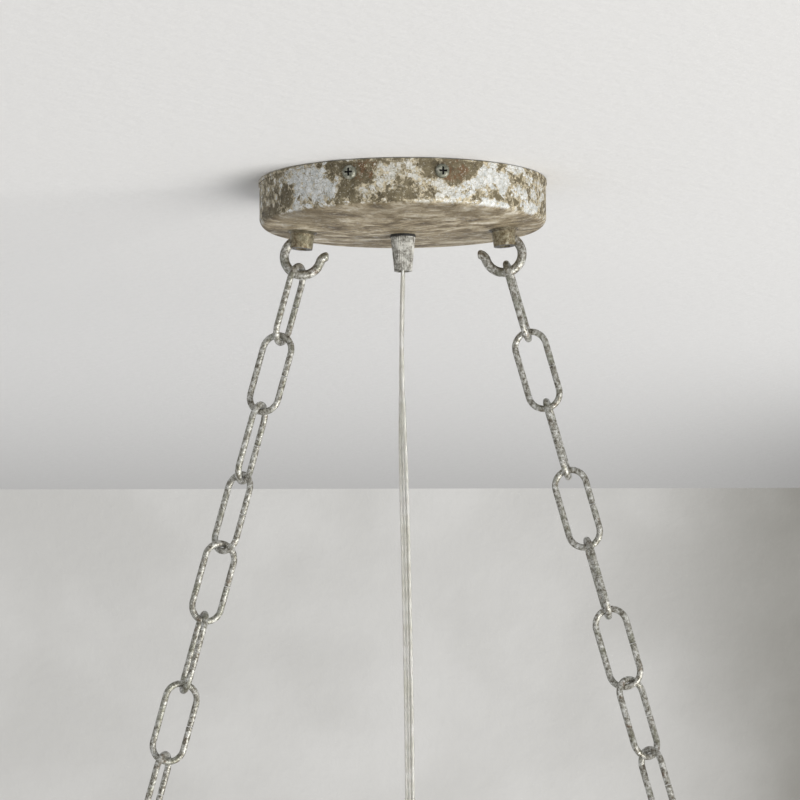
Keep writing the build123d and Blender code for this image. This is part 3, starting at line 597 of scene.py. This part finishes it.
def flat_jacket(width, thickness, lobes, groove):
    """Outline of a flat cord: rounded edges and a shallow groove between the conductors."""
    outline = []
    half = (width - thickness) / 2
    radius = thickness / 2
    flat_steps = 14
    end_steps = 8

    def dip(x):
        return groove * (0.5 - 0.5 * math.cos(2 * math.pi * lobes * (x / (2 * half) + 0.5)))

    for step in range(flat_steps):
        x = half - 2 * half * step / flat_steps
        outline.append((x, radius - dip(x)))
    for step in range(end_steps):
        angle = math.pi / 2 + math.pi * step / end_steps
        outline.append((-half + radius * math.cos(angle), radius * math.sin(angle)))
    for step in range(flat_steps):
        x = -half + 2 * half * step / flat_steps
        outline.append((x, -radius + dip(x)))
    for step in range(end_steps):
        angle = -math.pi / 2 + math.pi * step / end_steps
        outline.append((half + radius * math.cos(angle), radius * math.sin(angle)))
    return outline


cord_low, cord_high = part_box("supply_cord")
cord_top = cord_high[2]
cord_bottom = cord_low[2]
CORD_ROUTE = [
    (0.0, 0.0, cord_top),
    (-0.0010, 0.0, cord_top - 0.03),
    (-0.0012, 0.0, cord_top - 0.075),
    (0.0012, 0.0, cord_top - 0.19),
    (0.0020, 0.0, cord_top - 0.30),
    (0.0012, 0.0, cord_bottom + 0.032),
    (0.0, 0.0, cord_bottom),
]
cord_line = spline_line("cord_route", CORD_ROUTE, 60)
cord_length = sum((b - a).length for a, b in zip(cord_line, cord_line[1:]))
CORD_WIDTH = 0.0053
CORD_THICKNESS = 0.0024
CORD_GROOVE = 0.0003
CONDUCTOR_SPACING = 0.00175
GRIP_HOLD = 0.012
GRIP_SQUEEZE = 0.2


def cord_turn(share):
    """Edge on to the viewer at the top, nearly flat further down, and back at the lower grip."""
    upper = min(max((share - 0.06) / 0.24, 0.0), 1.0)
    lower = min(max((share - 0.86) / 0.12, 0.0), 1.0)
    ease = upper * upper * (3 - 2 * upper) - lower * lower * (3 - 2 * lower)
    return math.radians(90 - 72 * ease)


jacket_outline = flat_jacket(CORD_WIDTH, CORD_THICKNESS, 2, CORD_GROOVE)


def jacket_section(share):
    """The jacket's outline, squeezed a little where the grips hold it."""
    hold = max(0.0, 1 - min(share, 1 - share) * cord_length / GRIP_HOLD)
    tight = 1 - GRIP_SQUEEZE * hold
    return [(across * tight, up * tight) for across, up in jacket_outline]


cord_jacket = sweep("cord_jacket", cord_line, jacket_section, cord_turn, clear_plastic, "cord")


STRANDS = 7
STRAND_STEPS = 28
STRAND_PITCH = 0.011
STRAND_RIPPLE = 0.00005
CORE_RADIUS = 0.00060


def strand_outline(share):
    """Rope-like outline of a stranded conductor, turning along the run."""
    outline = []
    twist = share * cord_length / STRAND_PITCH * 2 * math.pi
    for step in range(STRAND_STEPS):
        angle = 2 * math.pi * step / STRAND_STEPS
        radius = CORE_RADIUS + STRAND_RIPPLE * math.cos(STRANDS * (angle - twist / STRANDS))
        outline.append((radius * math.cos(angle), radius * math.sin(angle)))
    return outline


CONDUCTOR_OFFSETS = {
    "conductor_left": -CONDUCTOR_SPACING,
    "conductor_middle": 0.0,
    "conductor_right": CONDUCTOR_SPACING,
}
conductors = [
    sweep(name, cord_line, strand_outline, cord_turn, tinned_copper, "cord", (offset, 0.0))
    for name, offset in CONDUCTOR_OFFSETS.items()
]
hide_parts("supply_cord")


# Crystals: cut beads and drops of glass, on rings of silver wire
ROUND_TURNS = [2 * math.pi * step / 16 for step in range(16)]
HOLE_RADIUS = 0.0011
HOLE_MARGIN = 0.0022
DRILL_REACH = 0.02


def cut_holes(mesh, holes):
    """Drills round holes through a mesh along Y. holes are centres and a radius."""
    solid = bpy.data.objects.new("solid", mesh)
    bpy.context.collection.objects.link(solid)
    cutters = []
    for centre, radius in holes:
        rim = [Vector((radius * math.cos(turn), 0, radius * math.sin(turn))) for turn in ROUND_TURNS]
        count = len(rim)
        ends = [Vector((0, reach, 0)) for reach in (-DRILL_REACH, DRILL_REACH)]
        points = [centre + point + end for end in ends for point in rim]
        faces = [(i, (i + 1) % count, count + (i + 1) % count, count + i) for i in range(count)]
        faces += [tuple(range(count))[::-1], tuple(range(count, 2 * count))]
        drill = bpy.data.meshes.new("drill")
        drill.from_pydata([tuple(point) for point in points], [], faces)
        cutter = bpy.data.objects.new("drill", drill)
        bpy.context.collection.objects.link(cutter)
        cutters.append(cutter)
        cut = solid.modifiers.new("hole", "BOOLEAN")
        cut.object = cutter
        cut.operation = "DIFFERENCE"
        cut.solver = "EXACT"
    bpy.context.view_layer.update()
    graph = bpy.context.evaluated_depsgraph_get()
    drilled = bpy.data.meshes.new_from_object(solid.evaluated_get(graph))
    for helper in [solid, *cutters]:
        bpy.data.objects.remove(helper)
    return drilled


def layered_mesh(name, layers):
    """A closed faceted mesh: rings of points from top to bottom, joined in order."""
    points = [point for layer in layers for point in layer]
    size = len(layers[0])
    faces = [tuple(range(size))]
    for ring in range(len(layers) - 1):
        for step in range(size):
            a = ring * size + step
            b = ring * size + (step + 1) % size
            faces.append((b, a, a + size, b + size))
    faces.append(tuple(range(len(points) - size, len(points)))[::-1])
    mesh = bpy.data.meshes.new(name)
    mesh.from_pydata(points, [], faces)
    return mesh


BEAD_HEIGHT = 0.020
BEAD_THICKNESS = 0.007
BEAD_GIRDLE = 0.0012


def bead_mesh():
    """Eight-sided bead cut the same on both faces: girdle, kites, star and table, holed at both ends."""
    corner = BEAD_HEIGHT / 2 / math.cos(math.pi / 8)
    layers = []
    for size, depth in (
        (0.40, -0.5),
        (0.72, -0.36),
        (1.0, -0.5 * BEAD_GIRDLE / BEAD_THICKNESS),
        (1.0, 0.5 * BEAD_GIRDLE / BEAD_THICKNESS),
        (0.72, 0.36),
        (0.40, 0.5),
    ):
        ring = []
        for step in range(16):
            angle = math.pi / 8 + math.pi / 8 * step
            reach = corner * size
            if step % 2:
                reach *= math.cos(math.pi / 8) if abs(depth) < 0.2 or size < 0.5 else 1.04
            ring.append((reach * math.cos(angle), depth * BEAD_THICKNESS, reach * math.sin(angle)))
        layers.append(ring)
    hole_height = BEAD_HEIGHT / 2 - HOLE_MARGIN
    holes = [(Vector((0, 0, hole_height)), HOLE_RADIUS), (Vector((0, 0, -hole_height)), HOLE_RADIUS)]
    return cut_holes(layered_mesh("bead", layers), holes)


# A drop's rings from the top: height, half width at the edge and at the face, half thickness
PRISM_LAYERS = [
    (0.0, 0.0030, 0.0028, 0.0009),
    (-0.0006, 0.0032, 0.0032, 0.0011),
    (-0.0044, 0.0032, 0.0032, 0.0011),
    (-0.0160, 0.0080, 0.0040, 0.0040),
    (-0.0200, 0.0080, 0.0030, 0.0040),
    (-0.0710, 0.0080, 0.0030, 0.0040),
    (-0.0750, 0.0080, 0.0040, 0.0040),
    (-0.0890, 0.0003, 0.0002, 0.0002),
]


def prism_mesh():
    """Long drop: thin holed neck, wide shoulder, six-sided body with a front facet, and a point."""
    layers = []
    for height, edge, face, depth in PRISM_LAYERS:
        front = [(edge, 0), (face, depth), (0, depth), (-face, depth)]
        back = [(-x, -y) for x, y in front]
        layers.append([(x, y, height) for x, y in front + back])
    return cut_holes(layered_mesh("prism", layers), [(Vector((0, 0, -HOLE_MARGIN)), HOLE_RADIUS)])


def ring_mesh(radius, wire):
    """Round ring of wire, standing across the crystal's face."""
    around, section = 28, 10
    points, faces = [], []
    for turn in range(around):
        angle = 2 * math.pi * turn / around
        for step in range(section):
            lean = 2 * math.pi * step / section
            reach = radius + wire / 2 * math.cos(lean)
            points.append((wire / 2 * math.sin(lean), reach * math.cos(angle), reach * math.sin(angle)))
    for turn in range(around):
        for step in range(section):
            a = turn * section + step
            b = turn * section + (step + 1) % section
            c = ((turn + 1) % around) * section + step
            d = ((turn + 1) % around) * section + (step + 1) % section
            faces.append((a, b, d, c))
    mesh = bpy.data.meshes.new("ring")
    mesh.from_pydata(points, [], faces)
    return mesh


RING_WIRE = 0.0010
UPPER_RING = 0.0045
LOWER_RING = 0.0030
BEAD_TOP = 2 * UPPER_RING - HOLE_MARGIN
PRISM_TOP = BEAD_TOP + BEAD_HEIGHT - 2 * HOLE_MARGIN + 2 * LOWER_RING
CRYSTAL_MODELS = [
    (bead_mesh(), -BEAD_TOP - BEAD_HEIGHT / 2),
    (prism_mesh(), -PRISM_TOP),
]
RING_MODELS = [
    (ring_mesh(UPPER_RING, RING_WIRE), -UPPER_RING),
    (ring_mesh(LOWER_RING, RING_WIRE), -BEAD_TOP - BEAD_HEIGHT + HOLE_MARGIN - LOWER_RING),
]


def row_piece(name, models, spots, turn, material, body, smooth):
    """Copies of some models at each spot, as one object."""
    points, faces = [], []
    for spot in spots:
        for model, drop in models:
            move = Matrix.Translation(spot + Vector((0, 0, drop))) @ Matrix.Rotation(turn, 4, "Z")
            first = len(points)
            points += [move @ vertex.co for vertex in model.vertices]
            faces += [tuple(first + index for index in face.vertices) for face in model.polygons]
    return mesh_piece(name, points, faces, material, body, smooth)


# Each row's body, how many crystals hang in it, and its turn about the upright
ROWS = {
    "front_crystals": ("front_row", 24, 0.0),
    "back_crystals": ("back_row", 24, 0.0),
    "left_crystals": ("left_row", 6, math.pi / 2),
    "right_crystals": ("right_row", 6, math.pi / 2),
}
for row, (body, count, turn) in ROWS.items():
    low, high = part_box(row)
    middle = Vector([(a + b) / 2 for a, b in zip(low, high)])
    middle.z = high[2] - RING_WIRE / 2
    along = Vector((math.cos(turn), math.sin(turn), 0))
    run = (high[0] - low[0] if turn == 0 else high[1] - low[1]) - BEAD_HEIGHT
    spots = [middle + along * run * (step / (count - 1) - 0.5) for step in range(count)]
    glass = row_piece(f"{row}_glass", CRYSTAL_MODELS, spots, turn, cut_crystal, body, False)
    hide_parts(row)
    row_piece(f"{row}_rings", RING_MODELS, spots, turn, ring_silver, body, True)


# Lamps: clear envelope, threaded brass base, glass stem and filaments
def turned_piece(name, profile, centre, material, body, around=48):
    """A surface of revolution about an upright axis, from pairs of radius and height."""
    points, faces = [], []
    for radius, height in profile:
        for step in range(around):
            angle = 2 * math.pi * step / around
            x = centre[0] + radius * math.cos(angle)
            y = centre[1] + radius * math.sin(angle)
            points.append((x, y, height))
    for ring in range(len(profile) - 1):
        for step in range(around):
            a = ring * around + step
            b = ring * around + (step + 1) % around
            faces.append((a, b, b + around, a + around))
    return mesh_piece(name, points, faces, material, body)


# Shares of the envelope's length from the base down, and its radius there
BULB_SHAPE = [
    (0.0, 0.0057), (0.05, 0.0066), (0.12, 0.0096), (0.20, 0.0132), (0.30, 0.0162), (0.40, 0.0174),
    (0.50, 0.0165), (0.60, 0.0142), (0.70, 0.0112), (0.80, 0.0080), (0.88, 0.0054), (0.95, 0.0029),
    (0.985, 0.0014), (1.0, 0.0004),
]
GLASS_WALL = 0.0007
GLASS_LENGTH = 0.076
INNER_TIP_RADIUS = 0.0001

# Radii of the base's contact and of the stem, with their distances below the top of base and glass
CONTACT_SHAPE = [(0.0012, 0.0), (0.0026, 0.0004), (0.0034, 0.0024)]
STEM_SHAPE = [(0.0001, 0.030), (0.0011, 0.0295), (0.0013, 0.012), (0.0042, 0.0)]
BASE_RADIUS = 0.0057
BASE_SHOULDER = 0.0030
THREAD_DEPTH = 0.00028
THREAD_STEPS = 40
FILAMENT_RADIUS = 0.00022
# A filament's distance from the lamp's axis, and its height from the top of the glass
FILAMENT_ROUTE = [(0.0010, -0.022), (0.0062, -0.024), (0.0066, -0.050), (0.0010, -0.0525)]


def eased_profile(shape, steps=6):
    """More points between a profile's own, on a smooth curve through them."""
    eased = []
    for index in range(len(shape) - 1):
        before = shape[max(index - 1, 0)]
        start, end = shape[index], shape[index + 1]
        after = shape[min(index + 2, len(shape) - 1)]
        for step in range(steps):
            share = step / steps
            radius = 0.5 * (
                2 * start[1]
                + (end[1] - before[1]) * share
                + (2 * before[1] - 5 * start[1] + 4 * end[1] - after[1]) * share**2
                + (3 * start[1] - before[1] - 3 * end[1] + after[1]) * share**3
            )
            eased.append((start[0] + (end[0] - start[0]) * share, radius))
    return eased + [shape[-1]]


for number in range(1, 5):
    body = f"lamp_{number}"
    low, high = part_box(f"bulb_{number}")
    centre = ((low[0] + high[0]) / 2, (low[1] + high[1]) / 2)
    glass_top = low[2] + GLASS_LENGTH
    outer = [(radius, glass_top - share * GLASS_LENGTH) for share, radius in eased_profile(BULB_SHAPE)]
    inner = [
        (max(radius - GLASS_WALL, INNER_TIP_RADIUS), height + GLASS_WALL)
        for radius, height in reversed(outer[1:])
    ]
    envelope = turned_piece(f"bulb_{number}_glass", [*inner, *outer][::-1], centre, lamp_glass, body, 64)
    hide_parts(f"bulb_{number}")
    base_top = high[2]
    thread = [(radius, base_top - drop) for radius, drop in CONTACT_SHAPE]
    for step in range(THREAD_STEPS + 1):
        height = base_top - BASE_SHOULDER - step * (base_top - BASE_SHOULDER - glass_top) / THREAD_STEPS
        thread.append((BASE_RADIUS + THREAD_DEPTH * math.sin(step * math.pi / 4), height))
    turned_piece(f"bulb_{number}_base", thread, centre, lamp_brass, body)
    stem = [(radius, glass_top - drop) for radius, drop in STEM_SHAPE]
    turned_piece(f"bulb_{number}_stem", stem, centre, lamp_glass, body, 24)
    wires = bpy.data.curves.new(f"bulb_{number}_filament", "CURVE")
    wires.dimensions = "3D"
    wires.bevel_depth = FILAMENT_RADIUS
    wires.bevel_resolution = 2
    for turn in range(4):
        angle = math.pi / 2 * turn + math.pi / 4
        spline = wires.splines.new("POLY")
        spline.points.add(len(FILAMENT_ROUTE) - 1)
        for point, (reach, drop) in zip(spline.points, FILAMENT_ROUTE):
            x = centre[0] + reach * math.cos(angle)
            y = centre[1] + reach * math.sin(angle)
            point.co = (x, y, glass_top + drop, 1)
    wires.materials.append(filament_wire)
    place(bpy.data.objects.new(f"bulb_{number}_filament", wires), body)


# Insulated leads inside the canopy and wiring inside the spine
def wire_piece(name, points, radius, material, body):
    """A round wire on a smooth curve."""
    outline = [(radius * math.cos(turn), radius * math.sin(turn)) for turn in ROUND_TURNS]
    line = spline_line(name, points, 10)
    return sweep(name, line, lambda share: outline, lambda share: 0.0, material, body)


CONDUCTOR_RADIUS = 0.0008
LEAD_CORE_SHARE = 0.6
BUS_RADIUS = 0.00095
LEAD_LEVEL = cord_top + 0.0306
EARTH_LEVEL = cord_top + 0.0346
EARTH_GAP = 0.0006
earth_low, earth_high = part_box("ground_screw")
earth_y = (earth_low[1] + earth_high[1]) / 2
for side, name in ((-1, "lead_left"), (1, "lead_right")):
    route = [
        (0, side * CONDUCTOR_SPACING, cord_top),
        (0, side * CONDUCTOR_SPACING, LEAD_LEVEL - 0.006),
        (0, side * CONDUCTOR_SPACING, LEAD_LEVEL),
        (side * 0.005, side * 0.006, LEAD_LEVEL),
        (side * 0.013, side * 0.014, LEAD_LEVEL),
        (side * 0.019, side * 0.014, LEAD_LEVEL),
        (side * 0.030, side * 0.014, LEAD_LEVEL),
    ]
    insulation = wire_piece(name, route, CONDUCTOR_RADIUS, clear_plastic, "canopy")
    if side < 0:
        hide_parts("lead_wires")
    wire_piece(name + "_strands", route, CONDUCTOR_RADIUS * LEAD_CORE_SHARE, tinned_copper, "canopy")
earth_route = [
    (0, 0, cord_top + EARTH_GAP),
    (0, 0, EARTH_LEVEL - 0.004),
    (0, 0, EARTH_LEVEL),
    (0, -0.004, EARTH_LEVEL),
    (0, earth_y + 0.004, EARTH_LEVEL),
    (0, earth_y, EARTH_LEVEL),
    (0, earth_y, earth_low[2]),
]
wire_piece("lead_earth", earth_route, CONDUCTOR_RADIUS, bare_copper, "canopy")
spine_low, spine_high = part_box("spine_tube")
spine_level = (spine_low[2] + spine_high[2]) / 2
bus_low, bus_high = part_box("body_wiring")
BUS_Y = 0.0042
for side, name, colour in ((-1, "bus_front", wire_white), (1, "bus_back", wire_black)):
    run = [(x, side * BUS_Y, spine_level) for x in (bus_low[0], 0, bus_high[0])]
    bus = wire_piece(name, run, BUS_RADIUS, colour, "chandelier")
    if side < 0:
        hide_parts("body_wiring")
    riser = [
        (0, side * CONDUCTOR_SPACING, cord_bottom),
        (0, side * CONDUCTOR_SPACING, (cord_bottom + spine_level) / 2),
        (0, side * CONDUCTOR_SPACING, spine_level + 0.005),
        (0, side * BUS_Y, spine_level),
    ]
    wire_piece(name + "_riser", riser, CONDUCTOR_RADIUS, colour, "chandelier")
    for number in range(1, 5):
        low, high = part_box(f"bulb_{number}")
        x = (low[0] + high[0]) / 2
        levels = (spine_level, spine_low[2] + 0.008, spine_low[2] + 0.0035)
        drop = [(x, side * BUS_Y, level) for level in levels]
        wire_piece(f"{name}_drop_{number}", drop, CONDUCTOR_RADIUS, colour, "chandelier")
earth_drop = [(0, 0, cord_bottom - EARTH_GAP), (0, 0, spine_level), (0, 0, spine_low[2] + 0.0015)]
wire_piece("bus_earth", earth_drop, CONDUCTOR_RADIUS, bare_copper, "chandelier")


# Stage: the ceiling that the canopy is fixed to, and the wall behind it
def backdrop(name, corners, colour, shade):
    """A plain sheet seen from its front only. Light from the lamp and the world passes through it."""
    finish = Finish(name, roughness=0.9)
    finish.wear("Base Color", shade(finish, colour))
    finish.wear("Normal", finish.bump(finish.noise(9, 4, 0.6), 0.5))
    clear = finish.nodes.new("ShaderNodeBsdfTransparent")
    choice = finish.nodes.new("ShaderNodeMixShader")
    back = finish.nodes.new("ShaderNodeNewGeometry").outputs["Backfacing"]
    path = finish.nodes.new("ShaderNodeLightPath")
    seen = finish.calc("MAXIMUM", path.outputs["Is Camera Ray"], path.outputs["Is Transmission Ray"])
    finish.feed(choice.inputs[0], finish.calc("MAXIMUM", back, finish.calc("SUBTRACT", 1.0, seen)))
    finish.feed(choice.inputs[1], finish.shader.outputs[0])
    finish.feed(choice.inputs[2], clear.outputs[0])
    output = finish.nodes["Material Output"]
    finish.feed(output.inputs["Surface"], choice.outputs[0])
    sheet = mesh_piece(name, corners, [(0, 1, 2, 3)], finish.material, None, smooth=False)


CEILING_HEIGHT = 0.0006
WALL_DISTANCE = 1.44
WALL_SLOPE = 0.087
STAGE_REACH = 6.0
wall_left = WALL_DISTANCE - WALL_SLOPE * STAGE_REACH
wall_right = WALL_DISTANCE + WALL_SLOPE * STAGE_REACH


def ceiling_shade(finish, colour):
    """Painted shade: darker towards the front and towards the wall, most of all towards the wall on the
    right.
    """
    distance = finish.axis("Y")
    nearer = finish.step(distance, 0.6, -0.8, 0.0, 0.5)
    colour = finish.mix(nearer, colour, tint(192, 191, 189))
    towards = finish.step(distance, 0.5, WALL_DISTANCE + 0.35)
    rightward = finish.step(finish.axis("X"), 0.05, 0.42)
    # Painted shade: deepest where the ceiling meets the wall on the right
    corner = finish.calc("MULTIPLY", finish.step(distance, 0.6, WALL_DISTANCE), rightward)
    shaded = finish.mix(towards, colour, tint(184, 183, 181))
    return finish.mix(corner, shaded, tint(130, 129, 127))


def wall_shade(finish, colour):
    """Painted shade: darker to the right, with faint clouds."""
    across = finish.step(finish.axis("X"), 0.02, 0.34)
    cloud = finish.step(finish.noise(160, 4, 0.5), 0.35, 0.65, 0.0, 0.2)
    return finish.mix(finish.calc("ADD", across, cloud, clamp=True), colour, tint(132, 130, 124))


backdrop(
    "ceiling",
    [
        (-STAGE_REACH, wall_left, CEILING_HEIGHT),
        (STAGE_REACH, wall_right, CEILING_HEIGHT),
        (STAGE_REACH, -STAGE_REACH, CEILING_HEIGHT),
        (-STAGE_REACH, -STAGE_REACH, CEILING_HEIGHT),
    ],
    tint(220, 219, 217),
    ceiling_shade,
)
backdrop(
    "wall",
    [
        (-STAGE_REACH, wall_left, -STAGE_REACH),
        (STAGE_REACH, wall_right, -STAGE_REACH),
        (STAGE_REACH, wall_right, CEILING_HEIGHT),
        (-STAGE_REACH, wall_left, CEILING_HEIGHT),
    ],
    tint(203, 202, 199),
    wall_shade,
)

# Light: an even world and one large soft lamp from the right
bpy.context.scene.view_settings.view_transform = "Standard"
world = bpy.data.worlds.new("world")
bpy.context.scene.world = world
world.use_nodes = True
world.node_tree.nodes["Background"].inputs["Color"].default_value = tint(200, 201, 203)
world.node_tree.nodes["Background"].inputs["Strength"].default_value = 1.0
lamp_data = bpy.data.lights.new("window", "AREA")
lamp_data.shape = "RECTANGLE"
lamp_data.size = 3.4
lamp_data.size_y = 2.8
lamp_data.energy = 168
lamp_data.color = (1.0, 0.985, 0.96)
lamp = bpy.data.objects.new("window", lamp_data)
lamp.location = (2.5, -1.9, -2.1)
aim = Vector((0, 0, -0.1)) - lamp.location
lamp.rotation_euler = aim.to_track_quat("-Z", "Y").to_euler()
bpy.context.collection.objects.link(lamp)
